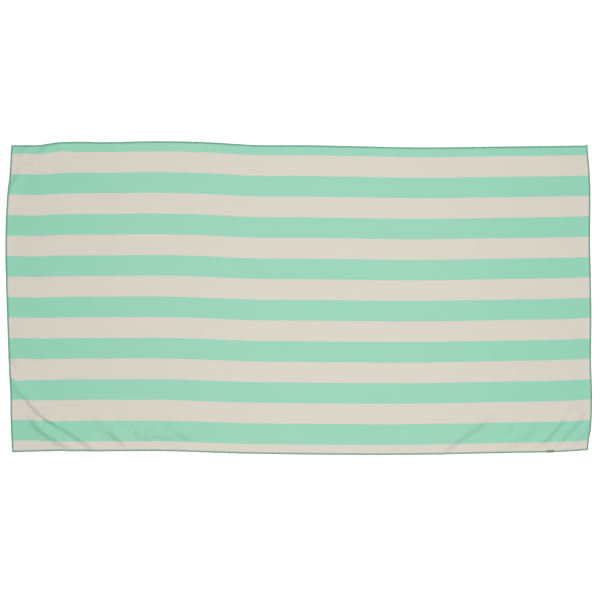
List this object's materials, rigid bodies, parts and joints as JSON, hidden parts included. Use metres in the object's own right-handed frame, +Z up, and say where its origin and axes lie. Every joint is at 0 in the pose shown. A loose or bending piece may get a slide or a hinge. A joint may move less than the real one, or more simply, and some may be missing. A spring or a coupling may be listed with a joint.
{
  "type": "beach towel",
  "caption": "Thin rectangular beach towel with wide lengthwise stripes, overlocked edges and a small bare label, laid flat with soft corner creases.",
  "frame": {"origin": "on the surface that the towel lies on, under its middle", "axes": "+X along the towel's length, +Y across it away from the side with the label, +Z up out of its face"},
  "size_m": [1.7108, 0.9154, 0.015],
  "materials": {
    "towel_cloth": "matt suede-faced microfibre, mint green and pale beige stripes",
    "overlock_thread": "matt spun thread, darker mint green",
    "label_tape": "fine woven tape, dark grey green, bare"
  },
  "bodies": {
    "root": {"towel_cloth": "towel_cloth", "stitching_top": "overlock_thread", "stitching_bottom": "overlock_thread", "stitching_left": "overlock_thread", "stitching_right": "overlock_thread", "side_label": "label_tape"}
  },
  "joints": []
}
